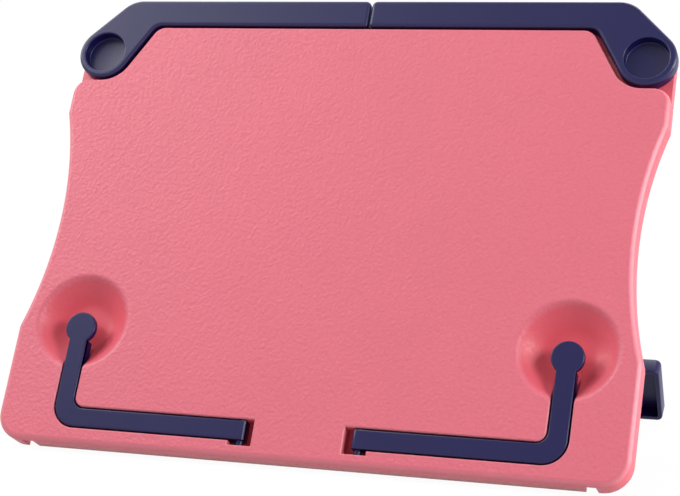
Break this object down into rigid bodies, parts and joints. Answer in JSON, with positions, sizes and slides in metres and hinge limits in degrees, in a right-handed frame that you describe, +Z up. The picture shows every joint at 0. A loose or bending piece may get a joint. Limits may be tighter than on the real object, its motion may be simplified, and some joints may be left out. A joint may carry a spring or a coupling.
{
  "type": "folding bookstand",
  "caption": "Folding bookstand: leaning reading board with swing-out top arms, sprung L-shaped page clips and a rear T-shaped leg held open by a stay in a notched rack.",
  "frame": {"origin": "on the ground under the middle of the standing part, between the board's back bottom edge and the foot of the leg", "axes": "+X to the reader's right along the board, +Y away from the reader, +Z up"},
  "size_m": [0.3036, 0.1661, 0.2096],
  "materials": {
    "board_plastic": "fine leather grain",
    "navy_plastic": "satin",
    "steel": "zinc plated",
    "spring_wire": "drawn wire"
  },
  "bodies": {
    "board": {"board": "board_plastic", "left_arm_screw": "steel", "right_arm_screw": "steel", "left_arm_washer": "steel", "right_arm_washer": "steel", "left_clip_pin": "steel", "right_clip_pin": "steel", "left_clip_spring": "spring_wire", "right_clip_spring": "spring_wire", "left_leg_pin": "steel", "right_leg_pin": "steel"},
    "left_arm": {"left_arm": "navy_plastic"},
    "right_arm": {"right_arm": "navy_plastic"},
    "left_clip": {"left_clip": "navy_plastic"},
    "right_clip": {"right_clip": "navy_plastic"},
    "leg": {"leg": "navy_plastic", "left_stay_pin": "steel", "right_stay_pin": "steel"},
    "stay": {"stay": "navy_plastic", "stay_bar": "steel"}
  },
  "joints": [
    {"name": "left_arm_swing", "type": "hinge", "parent": "board", "child": "left_arm", "pos_m": [-0.1378, 0.02263, 0.18057], "axis": [0, -0.8721, 0.4894], "range_deg": [0, 140]},
    {"name": "right_arm_swing", "type": "hinge", "parent": "board", "child": "right_arm", "pos_m": [0.1378, 0.02263, 0.18057], "axis": [0, 0.8721, -0.4894], "range_deg": [0, 140]},
    {"name": "left_clip_open", "type": "hinge", "parent": "board", "child": "left_clip", "pos_m": [-0.0283, -0.07638, 0.01086], "axis": [0, 0.4894, 0.8721], "range_deg": [0, 90], "stiffness_Nm_per_rad": 0.05, "springref_deg": -20.05},
    {"name": "right_clip_open", "type": "hinge", "parent": "board", "child": "right_clip", "pos_m": [0.0283, -0.07638, 0.01086], "axis": [0, -0.4894, -0.8721], "range_deg": [0, 90], "stiffness_Nm_per_rad": 0.05, "springref_deg": -20.05},
    {"name": "leg_fold", "type": "hinge", "parent": "board", "child": "leg", "pos_m": [0, 0.0018, 0.12954], "axis": [1, 0, 0], "range_deg": [-59.79, 0]},
    {"name": "stay_fold", "type": "hinge", "parent": "leg", "child": "stay", "pos_m": [0, 0.03325, 0.07611], "axis": [1, 0, 0], "range_deg": [0, 119.58]}
  ],
  "couplings": [
    {"joint": "stay_fold", "follows": "leg_fold", "ratio": -2}
  ]
}
